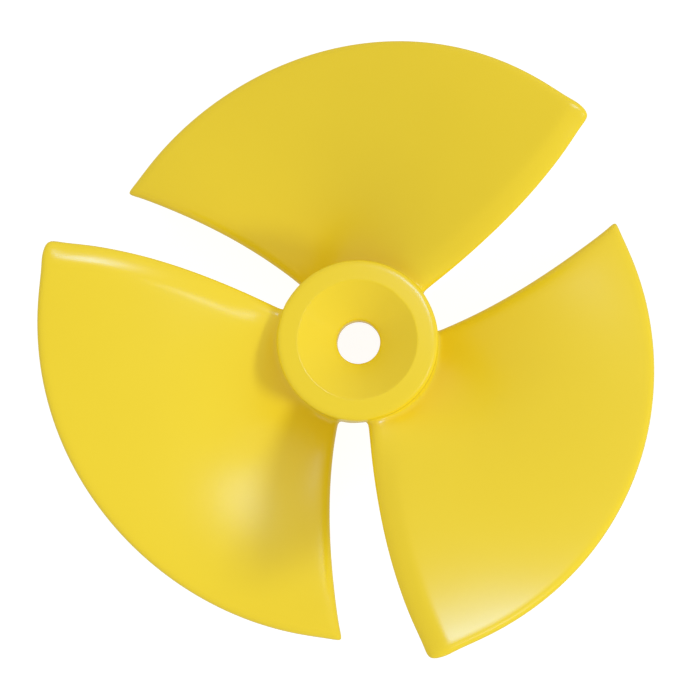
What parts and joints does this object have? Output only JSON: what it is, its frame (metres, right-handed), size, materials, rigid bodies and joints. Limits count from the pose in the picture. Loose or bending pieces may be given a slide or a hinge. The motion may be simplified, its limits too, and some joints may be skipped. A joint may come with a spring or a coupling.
{
  "type": "pool cleaner impeller",
  "caption": "One-piece moulded plastic impeller with wide pitched blades around a short hub that has a dished front, a through bore and an open rear socket.",
  "frame": {"origin": "centre of mass, on the axis of the bore", "axes": "+Z along the bore towards the dished front of the hub; +X and +Y span the plane of the blades, +X to the right and +Y up in the picture"},
  "size_m": [0.0901, 0.0899, 0.0296],
  "materials": {
    "yellow_plastic": "satin injection-moulded yellow plastic"
  },
  "bodies": {
    "root": {"impeller": "yellow_plastic"}
  },
  "joints": []
}
